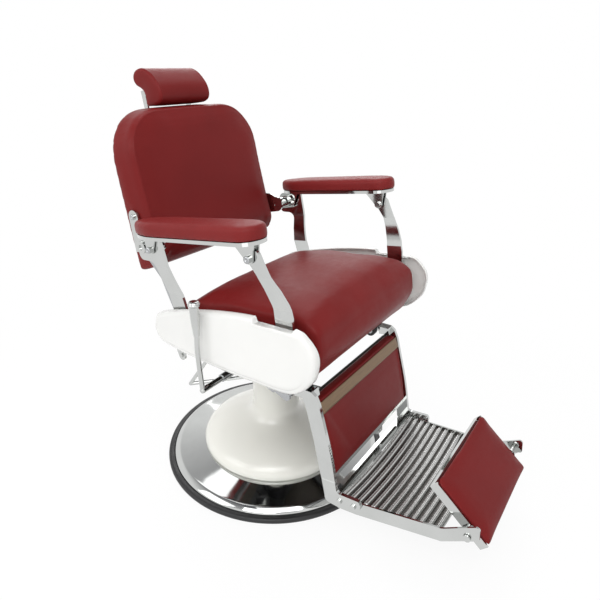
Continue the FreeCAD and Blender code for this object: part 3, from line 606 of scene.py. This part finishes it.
# Front view of the back: across, up and corner radius.
BACK_EDGE = [(-250, 657, 9), (250, 657, 9), (247, 1081.5, 125), (0, 1083, 1500),
             (-247, 1081.5, 125)]
# Depth from the rear, out of BACK_DEEP, and how far the outline is drawn in there.
BACK_DEEP = 88
BACK_ROLL = [(1.2, 4), (3, 1.5), (6, 0.4), (12, 0), (24, 0), (36, 0), (48, 0), (60, -0.5),
             (70, -0.6), (77, 0.6), (82, 3), (85.5, 6.5), (87.3, 11), (88, 17), (88, 30),
             (88, 60)]


def back_pad():
    """Thick back cushion: flat behind, a wide side face and a soft front edge."""
    rings = []
    for depth, draw in BACK_ROLL:
        part = depth / BACK_DEEP
        ring = []
        for x, n in shrunk(BACK_EDGE, draw, FINE_OUTLINE):
            # The lower edge rises towards the front.
            level = n + 14 * part * smooth_step((690 - n) / 33)
            ring.append(seat(x, back_rear(n) + (back_front(n) - back_rear(n)) * part, level))
        rings.append(ring)
    pad = loft("back_upholstery", rings)

    def held(points):
        # The rear face, on the rear panel.
        x, s, n = local(points)
        return s < back_rear(n) + 4

    def kept(points):
        # In front of the rear panel and under the headrest, narrower between the side brackets.
        x, s, n = local(points)
        beside = smooth_step((n - 690) / 8) * smooth_step((850 - n) / 8)
        most = 254 - 4.3 * beside
        return world(np.clip(x, -most, most), np.maximum(s, back_rear(n) + 0.6),
                     np.minimum(n, 1083.8))

    edge = shrunk(BACK_EDGE, 0, FINE_OUTLINE)

    def raised(points):
        # A welt on the front face, along its edge.
        x, s, n = local(points)
        front = smooth_step((s - back_rear(n) - 62) / 12)
        return front * 2.2 * ridge(edge_distance(edge, x, n), 12, 3.4)

    swell(pad, 0.006, 0.006, held, limit=kept, relax=2, raised=raised)
    finish_piece(pad, "back", "wine_leather", "back_cushion")


def back_cover():
    """Flat upholstered panel that closes the rear of the back, with a thin welt round it."""
    rings = []
    # Distance behind the back and how far the outline is drawn in: over the welt, then the panel.
    for out, draw in ((-1.5, 12), (0.6, 12), (1.6, 12.8), (2.2, 14.4), (1.5, 16.2), (0.7, 17.5),
                      (0.9, 24), (1.2, 42)):
        ring = shrunk(BACK_EDGE, draw, FINE_OUTLINE)
        rings.append([seat(x, back_rear(n) - out, n) for x, n in ring])
    panel = loft("back_cover", rings)
    finish_piece(panel, "back", "wine_leather", "back_board")


# Side view of the headrest: forward and up.
HEAD_EDGE = [(-217, 1087), (-196, 1085.2), (-172, 1086.5), (-156, 1094), (-150, 1108),
             (-154, 1130), (-167, 1151), (-184, 1169), (-203, 1180), (-222, 1184), (-240, 1181),
             (-252, 1171), (-255, 1158), (-248, 1144), (-234, 1135.5), (-222, 1125),
             (-217, 1108)]


def head_pad():
    """Headrest roll: a comma in side view."""
    outline = spline(HEAD_EDGE, 140)
    rings = [[seat(x, s, n) for s, n in drawn_in(outline, draw)]
             for x, draw in end_rings(-95, 95, 6, 6)]
    pad = loft("headrest_upholstery", rings)

    def kept(points):
        # Clear of the back cushion below.
        x, s, n = local(points)
        return world(x, s, np.maximum(n, 1084.6))

    def raised(points):
        # A seam round each end, on the front of the roll.
        x, s, n = local(points)
        return 0.8 * ridge(np.abs(x), 89, 2.4) * smooth_step((s + 232) / 25)

    swell(pad, 0.004, 0.0025, limit=kept, relax=1, raised=raised)
    finish_piece(pad, "headrest", "wine_leather", "headrest_pad")


ARM_HALF = 45
ARM_MIDDLE = 305
ARM_UNDER = 786.8


def arm_half(s):
    """Half width of an arm pad: round in front, drawn in by a wide arc to a small round end."""
    if s > 280:
        return math.sqrt(max(0.0, ARM_HALF ** 2 - (s - 280) ** 2))
    if s > 20:
        return ARM_HALF
    if s > -67.45:
        return math.sqrt(175.6 ** 2 - (20 - s) ** 2) - 130.6
    return math.sqrt(max(0.0, 25 ** 2 - (s + 55) ** 2))


def arm_pads():
    """Arm pads, from stations that lie closer together at the two ends."""
    stations = [122.5 - 202.5 * math.cos(math.pi * k / 120) for k in range(121)]
    right = [(arm_half(s), s) for s in stations]
    left = [(-w, s) for w, s in right[::-1]]
    outline = even(np.array(right + left), 180)
    for side, name in ((-1, "right"), (1, "left")):
        rings = []
        for n, draw in end_rings(ARM_UNDER, 819.5, 3.5, 12):
            ring = drawn_in(outline, draw + 0.7)
            rings.append([seat(side * ARM_MIDDLE + x, s, n) for x, s in ring])
        pad = loft("arm_upholstery_" + name, rings)

        def held(points):
            # The underside, on the arm plate.
            x, s, n = local(points)
            return n < 790

        def kept(points):
            # Above the arm plate.
            x, s, n = local(points)
            return world(x, s, np.clip(n, ARM_UNDER, 824))

        swell(pad, 0.0045, 0.0045, held, limit=kept)
        finish_piece(pad, "seat", "arm_vinyl", "arm_pad_" + name)


CALF_HALF = 211.4
CALF_THICK = 29
STRIP_HALF = 210.5


def calf_front(n):
    """Forward position of the calf panel's face: upright below, curving back above."""
    t = np.clip((n - 207) / 151, 0, 1.1)
    return 378 - 2 * np.clip((n - 141) / 66, 0, 1) - 23 * t + 13.7 * t * (1 - t)


def calf_pad():
    """Calf panel, held along its rear and kept thin under the strip."""
    edge = [(-CALF_HALF, 142, 4), (CALF_HALF, 142, 4), (CALF_HALF, 359, 4),
            (-CALF_HALF, 359, 4)]
    rings = []
    for depth, draw in end_rings(0, CALF_THICK, 2, 5, 4):
        ring = shrunk(edge, draw, FINE_OUTLINE)
        rings.append([seat(x, calf_front(n) - (CALF_THICK + 0.5) + depth, n) for x, n in ring])
    pad = loft("calf_upholstery", rings)

    def held(points):
        # The rear, on the calf board.
        x, s, n = local(points)
        return s < calf_front(n) - (CALF_THICK - 3)

    def cap(points):
        # Hardly at all under the strip.
        x, s, n = local(points)
        return 0.0004 + 0.0026 * smooth_step((312 - n) / 40)

    swell(pad, 0.005, cap, held)
    finish_piece(pad, "leg_rest", "wine_leather", "calf_pad")


def calf_strip():
    """Thin bronze strip along the top of the calf panel, bent to its face."""
    rings = []
    for n in np.linspace(322, 353, 9):
        front = calf_front(n) + 1.4
        rings.append([seat(x, front, n) for x in np.linspace(-STRIP_HALF, STRIP_HALF, 40)])
    strip = loft("calf_strip", rings, caps=False, closed=False)
    thick = strip.modifiers.new("thick", "SOLIDIFY")
    thick.thickness = 0.0012
    thick.offset = -1
    finish_piece(strip, "leg_rest", "bronze_trim", "calf_trim")


# Face of the flip-up pad: across, up along it and corner radius.
FOOT_EDGE = [(-154.5, -47.5, 6), (0, -46, 1500), (154.5, -47.5, 6), (153, 38.5, 1500),
             (154.5, 125.5, 6), (0, 124, 1500), (-154.5, 125.5, 6), (-153, 38.5, 1500)]


def foot_pad():
    """Padded face of the flip-up foot rest, with a lip that laps over its tray."""
    rings = []
    # Depth and how far the outline is drawn in: underside, wall, lip and face.
    for depth, draw in ((-0.5, 40), (-0.5, 2), (0.8, 0), (7.6, 0), (8.5, -3.6), (9.4, -5.4),
                        (10.8, -5.9), (12.4, -5), (13.8, -1.5), (14.9, 5), (16, 14), (17.2, 28),
                        (18, 50)):
        rings.append([FLIP(x, depth, n) for x, n in shrunk(FOOT_EDGE, draw)])
    pad = loft("foot_upholstery", rings)
    place = np.array(FLIP(0, 0, 0))
    up = np.array(FLIP(0, 1000, 0)) - place

    def held(points):
        # The side that lies in the tray.
        return (points - place) @ up < 0.0012

    swell(pad, 0.004, 0.003, held)
    finish_piece(pad, "flip_rest", "wine_leather", "flip_pad")


# ---------------------------------------------------------------- base

TURN_STEPS = 192

# Radius and height round the section of each turned piece.
BELL = [(230, 40), (231.3, 46), (231.4, 54), (228.5, 63), (221, 73), (209.5, 81.5), (196, 89),
        (178, 98), (150, 109.5), (125, 118.5), (109, 124.3), (96, 130.5), (86, 138.5),
        (78.5, 149), (74.5, 160), (73, 172), (73, 200), (73, 343.5), (71.5, 345), (69, 345),
        (69, 176), (70.5, 162), (75, 148), (84, 135), (96, 126), (125, 114), (150, 105),
        (178, 93.5), (205, 79), (217, 71), (224, 62), (227, 53), (226, 40)]
DISH = [(48, 36), (232, 36), (292, 22), (300, 18), (300, 12), (331, 12), (331.5, 13.5),
        (330.4, 16.5), (326, 20.6), (320, 25), (316.4, 27.2), (314, 28.3), (311.6, 28.8),
        (308, 29.2), (290, 31.6), (260, 35.8), (234, 39.4), (230, 40), (48, 40)]
RUBBER = [(298, 0), (346, 0), (349, 1.2), (350, 4), (350, 8), (348.8, 12), (345.6, 14.6),
          (341, 15.2), (337, 14.2), (334, 14.4), (332.2, 14), (332, 11.8), (298, 11.8)]


def turned(name, profile, slot, node_name):
    """Ring or shell turned about the upright axis of the base."""
    around = np.linspace(0, 2 * math.pi, TURN_STEPS, endpoint=False)
    points = [(r * math.cos(a) / 1000, r * math.sin(a) / 1000, z / 1000)
              for r, z in profile for a in around]
    faces = []
    for j in range(len(profile)):
        this, other = j * TURN_STEPS, (j + 1) % len(profile) * TURN_STEPS
        for i in range(TURN_STEPS):
            k = (i + 1) % TURN_STEPS
            faces.append((this + i, this + k, other + k, other + i))
    finish_piece(mesh_object(name, points, faces), "base", slot, node_name)


def base():
    turned("bell_shell", BELL, "cream_enamel", "bell_cover")
    turned("base_dish", DISH, "chrome", "base_plate")
    turned("floor_rubber", RUBBER, "black_rubber", "floor_ring")


# ---------------------------------------------------------------- skirts and tread plate

# Side view of the skirts: forward and up.
SKIRT = [(-62, 573), (-89, 550), (-98, 519), (-80, 488), (-26, 467), (86, 446), (154, 436),
         (229, 428), (342, 421), (403, 460), (423, 501), (424, 537), (404, 568), (376, 585),
         (279, 600), (178, 601), (67, 592)]
SKIRT_INNER = 306.5
SKIRT_OUTER = 311
SKIRT_STEP = 2.6
# From the inner face round the rim to the outer one: how far the outline is drawn in, distance
# from the middle of the seat, and share of the step.
SKIRT_SHELL = ((16, 306.5, 0), (12, 306.5, 0), (9, 305.6, 0), (5.6, 303, 0), (4, 299, 0),
               (3.2, 292, 0), (2.6, 291, 0), (0.7, 291, 0), (0, 291.8, 0), (0, 297, 0.3),
               (0.5, 301, 0.5), (2.2, 305.5, 0.8), (5, 308.4, 1), (8.5, 310.2, 1), (12.6, 311, 1),
               (14.4, 311, 0.85), (15.4, 311, 0.3), (16.4, 311, 0))


def skirt(side, name):
    """Pressed shell: flat face, round rim, a step along its lower edge and a gap for the post."""
    outline = spline(SKIRT, 640)
    along = np.roll(outline, -1, 0) - np.roll(outline, 1, 0)
    down = np.clip(along[:, 0] / np.linalg.norm(along, axis=1), 0, 1)
    s, n = outline.T
    low = smooth_step(down * 1.6) * smooth_step((s + 90) / 60) * smooth_step((425 - s) / 60)
    rings = []
    for draw, depth, step in SKIRT_SHELL:
        s, n = drawn_in(outline, draw).T
        # The upper edge is cut down where the front arm post stands.
        ledge = 588 - (s - 263) * 0.084 + 40 * smooth_step((262 - s) / 6)
        ledge = ledge + 40 * smooth_step((s - 369) / 7)
        n = np.where((s > 252) & (s < 380) & (n > 540), np.minimum(n, ledge), n)
        ring = [seat(side * (depth - SKIRT_STEP * step * k), a, b) for a, b, k in zip(s, n, low)]
        rings.append(ring)
    # Both flat faces close towards a line from s = -60 to 370, at n = 517.
    s, n = drawn_in(outline, 16).T
    for part in (0.12, 0.35, 0.65):
        a = s + part * (np.clip(s, -60, 370) - s)
        b = n + part * (517 - n)
        rings.insert(0, [seat(side * SKIRT_INNER, u, v) for u, v in zip(a, b)])
        rings.append([seat(side * SKIRT_OUTER, u, v) for u, v in zip(a, b)])
    shell = loft("skirt_shell_" + name, rings)
    finish_piece(shell, "seat", "white_enamel", "skirt_" + name)


RIB_START = 4
RIB_END = 258
RIB_PITCH = 20
RIB_SHARE = 0.68        # of the pitch; the valley takes the rest
RIB_HIGH = 5.4
RIB_MIDDLE = 0.34
TREAD_COLUMNS = 65
TREAD_THICK = 4.5


def tread_dish(x):
    """Level of the tread plate without its ribs: lowest in the middle."""
    return -16 * (1 - (x / 205.5) ** 2)


def rib_phase(s):
    """Place within one rib and the valley after it, from 0 to 1."""
    return ((s - RIB_START) % RIB_PITCH) / RIB_PITCH


def tread_level(x, s):
    """Height of the tread plate's top: dished across, with round ribs that are split on top."""
    phase = rib_phase(s)
    rib = np.sin(np.pi * np.clip(phase / RIB_SHARE, 0, 1)) ** 0.6 * RIB_HIGH
    groove = ridge(phase, RIB_MIDDLE, 0.09)
    return tread_dish(x) + np.where(RIB_START < s < RIB_END, rib - groove, 0)


def groove_shade(s):
    """How much painted shade a row gets, from how deep between the ribs it lies: 1 in a valley,
    less in the split of a rib.
    """
    if not RIB_START < s < RIB_END:
        return 0
    phase = rib_phase(s)
    valley = smooth_step((phase - 0.56) / 0.1) * smooth_step((1 - phase) / 0.05)
    return max(valley, 0.55 * math.exp(-((phase - RIB_MIDDLE) / 0.1) ** 2))


def tread():
    """Ribbed tread plate: each ring is one row of its top and underside."""
    columns = np.linspace(-1, 1, TREAD_COLUMNS)
    rings = []
    marks = []
    for s in np.concatenate(([0.4], np.arange(1.0, 260, 1.0), [260])):
        # The plate is narrower towards the front.
        half = min(205.3, 206 - (s - 45) * 0.0939 - 0.5)
        x = columns * half
        top = tread_level(x, s)
        under = tread_dish(x) - TREAD_THICK
        ring = [TREAD(a, s, b) for a, b in zip(x, top)]
        ring += [TREAD(a, s, b) for a, b in zip(x[::-1], under[::-1])]
        rings.append(ring)
        # These values set where the plate's top gets painted shade.
        marks.append([groove_shade(s)] * TREAD_COLUMNS + [0] * TREAD_COLUMNS)
    plate = loft("tread_plate", rings)
    groove = plate.data.attributes.new("groove", "FLOAT", "POINT")
    groove.data.foreach_set("value", np.ravel(marks).astype(np.float32))
    finish_piece(plate, "leg_rest", "aluminium", "foot_plate")


# ---------------------------------------------------------------- screws and knob

HEAD_STEPS = 24
KNOB_STEPS = 48
# Radius and height along the head, as shares of its own, down into the recess.
HEAD_PROFILE = ((1, 0), (1, 0.3), (0.94, 0.6), (0.78, 0.84), (0.55, 0.97), (0.38, 1),
                (0.35, 0.4), (0.05, 0.35))
# Distance from the middle of the foot rest and radius, over the knob and down into its centre.
KNOB_PROFILE = ((187.6, 8), (187.6, 15.8), (188.2, 17.2), (189.8, 18.2), (193.4, 18.6),
                (197, 18.2), (198.8, 17), (199.7, 15), (200, 11), (199.4, 9), (198.2, 8),
                (198.2, 3), (199, 1.5))


def domes(name, body, slot, spots):
    """Round screw heads with a recess, on both sides: spots hold |x|, s, n, radius, height."""
    last = (len(HEAD_PROFILE) - 1) * HEAD_STEPS
    points = []
    faces = []
    for x, s, n, radius, height in spots:
        for side in (-1, 1):
            first = len(points)
            for out, up in HEAD_PROFILE:
                for k in range(HEAD_STEPS):
                    angle = 2 * math.pi * k / HEAD_STEPS
                    points.append(seat(side * (x + up * height),
                                       s + radius * out * math.cos(angle),
                                       n + radius * out * math.sin(angle)))
            for row in range(first, first + last, HEAD_STEPS):
                for k in range(HEAD_STEPS):
                    a = row + k
                    b = row + (k + 1) % HEAD_STEPS
                    faces.append((a, b, b + HEAD_STEPS, a + HEAD_STEPS))
            faces.append(tuple(range(first + last, first + last + HEAD_STEPS)))
            faces.append(tuple(range(first + HEAD_STEPS - 1, first - 1, -1)))
    finish_piece(mesh_object(name, points, faces), body, slot)


def flip_knob():
    """Rounded knob over the outer end of the flip rest's far pivot."""
    around = np.linspace(0, 2 * math.pi, KNOB_STEPS, endpoint=False)
    rings = [[FLIP(x, r * math.cos(a), r * math.sin(a)) for a in around] for x, r in KNOB_PROFILE]
    finish_piece(loft("flip_knob", rings), "flip_rest", "chrome")


# ---------------------------------------------------------------- camera, light and floor

CAMERA_PLACE = (-1.12156, -0.86461, 1.16508)
CAMERA_ANGLES = (55.29, -24.47, 0.87)
CAMERA_LENS = 31.62
# Name, place, target, size and power.
LAMPS = (
    ("key", (-2.5, -0.9, 2.7), (0, 0, 0.4), (1.8, 1.6), 28),
    ("high", (-1.5, -1.4, 3.4), (0, 0, 0.5), (2.2, 1.8), 27),
    ("front", (-0.6, -2.8, 2.6), (0, 0, 0.5), (2.0, 1.6), 4),
    ("top", (0.6, 0.6, 3.2), (0, 0, 0.4), (2.6, 2.6), 32),
    ("low", (-2.6, -1.2, 0.6), (0, 0, 0.25), (1.6, 0.8), 3),
    ("rim", (2.4, 1.9, 2.0), (0, 0, 0.7), (2.0, 1.2), 18),
    ("fill", (-2.8, 1.6, 2.4), (0, 0, 0.6), (2.0, 2.0), 24),
)
SKY_LIT = 0.5           # strength of the world where it lights a surface
FLOOR_HALF = 60.0
WHITE = (1, 1, 1, 1)


def make_camera():
    """Camera from its heading (from +y towards +x), its pitch and its roll."""
    yaw, pitch, roll = (math.radians(angle) for angle in CAMERA_ANGLES)
    level = math.cos(pitch)
    ahead = Vector((math.sin(yaw) * level, math.cos(yaw) * level, math.sin(pitch)))
    right = Vector((math.cos(yaw), -math.sin(yaw), 0))
    up = right.cross(ahead)
    side = right * math.cos(roll) + up * math.sin(roll)
    top = up * math.cos(roll) - right * math.sin(roll)
    data = bpy.data.cameras.new("camera")
    data.lens = CAMERA_LENS
    data.sensor_width = 36
    camera = link(bpy.data.objects.new("camera", data))
    turn = Matrix((side, top, -ahead)).transposed()
    camera.matrix_world = Matrix.Translation(CAMERA_PLACE) @ turn.to_4x4()
    bpy.context.scene.camera = camera


def area(name, place, target, size, power):
    data = bpy.data.lights.new(name, "AREA")
    data.shape = "RECTANGLE"
    data.size, data.size_y = size
    data.energy = power
    lamp = link(bpy.data.objects.new(name, data))
    lamp.location = place
    lamp.rotation_euler = (Vector(target) - Vector(place)).to_track_quat("-Z", "Y").to_euler()


def seen_or_lit(tree, seen, lit):
    """Mix two shaders: seen for camera rays and in mirrors and glass, lit for all other rays."""
    path = node(tree, "ShaderNodeLightPath")
    mix = node(tree, "ShaderNodeMixShader")
    fact = path.outputs["Is Camera Ray"]
    for name in ("Is Glossy Ray", "Is Transmission Ray"):
        most = node(tree, "ShaderNodeMath", operation="MAXIMUM")
        tree.links.new(fact, most.inputs[0])
        tree.links.new(path.outputs[name], most.inputs[1])
        fact = most.outputs[0]
    tree.links.new(fact, mix.inputs[0])
    tree.links.new(lit, mix.inputs[1])
    tree.links.new(seen, mix.inputs[2])
    return mix.outputs[0]


def make_light():
    """Area lamps, and a world that is white well above the horizon and dark overhead."""
    for lamp in LAMPS:
        area(*lamp)
    sky = bpy.data.worlds.new("world")
    bpy.context.scene.world = sky
    sky.use_nodes = True
    tree = sky.node_tree
    tree.nodes.clear()
    out = node(tree, "ShaderNodeOutputWorld")
    place = node(tree, "ShaderNodeTexCoord")
    parts = node(tree, "ShaderNodeSeparateXYZ")
    tree.links.new(place.outputs["Generated"], parts.inputs[0])
    shade = ramp(tree, parts.outputs["Z"], 0.48, 0.92, WHITE, (0.16, 0.16, 0.17, 1))
    seen = node(tree, "ShaderNodeBackground", Strength=1.0)
    tree.links.new(shade, seen.inputs["Color"])
    lit = node(tree, "ShaderNodeBackground", Color=WHITE, Strength=SKY_LIT)
    tree.links.new(seen_or_lit(tree, seen.outputs[0], lit.outputs[0]), out.inputs[0])


def make_floor():
    """Pale floor that keeps the shadow near the chair and turns into the white horizon."""
    r = FLOOR_HALF
    floor = mesh_object("floor", [(-r, -r, 0), (r, -r, 0), (r, r, 0), (-r, r, 0)], [(0, 1, 2, 3)])
    material, tree, shader = new_material("floor")
    shader.inputs["Base Color"].default_value = (0.95, 0.95, 0.95, 1)
    shader.inputs["Roughness"].default_value = 0.9
    shader.inputs["Specular IOR Level"].default_value = 0.0
    glow = node(tree, "ShaderNodeEmission", Color=WHITE, Strength=1.0)
    half = node(tree, "ShaderNodeMixShader")
    place = node(tree, "ShaderNodeTexCoord")
    far = node(tree, "ShaderNodeVectorMath", operation="LENGTH")
    tree.links.new(place.outputs["Object"], far.inputs[0])
    tree.links.new(ranged(tree, far.outputs["Value"], 0.6, 1.6, 0.88, 1.0), half.inputs[0])
    tree.links.new(shader.outputs[0], half.inputs[1])
    tree.links.new(glow.outputs[0], half.inputs[2])
    mixed = seen_or_lit(tree, half.outputs[0], shader.outputs[0])
    tree.links.new(mixed, tree.nodes["Material Output"].inputs[0])
    floor.data.materials.append(material)


# ---------------------------------------------------------------- the chair

dress_frame()
seat_pad()
back_pad()
back_cover()
head_pad()
arm_pads()
calf_pad()
calf_strip()
foot_pad()
base()
skirt(-1, "right")
skirt(1, "left")
tread()
domes("foot_screws", "leg_rest", "steel", [(222, 389, 77, 7, 3), (222, 430, 76, 7, 3)])
domes("arm_screws", "seat", "steel", [(317.5, 280, 742, 8.5, 3), (317.5, -45, 744, 8.5, 3)])
domes("back_screw_heads", "back", "steel", [(259.8, -160, 812, 7.5, 2.5)])
flip_knob()
make_camera()
make_light()
make_floor()

bpy.context.scene.view_settings.view_transform = "Standard"
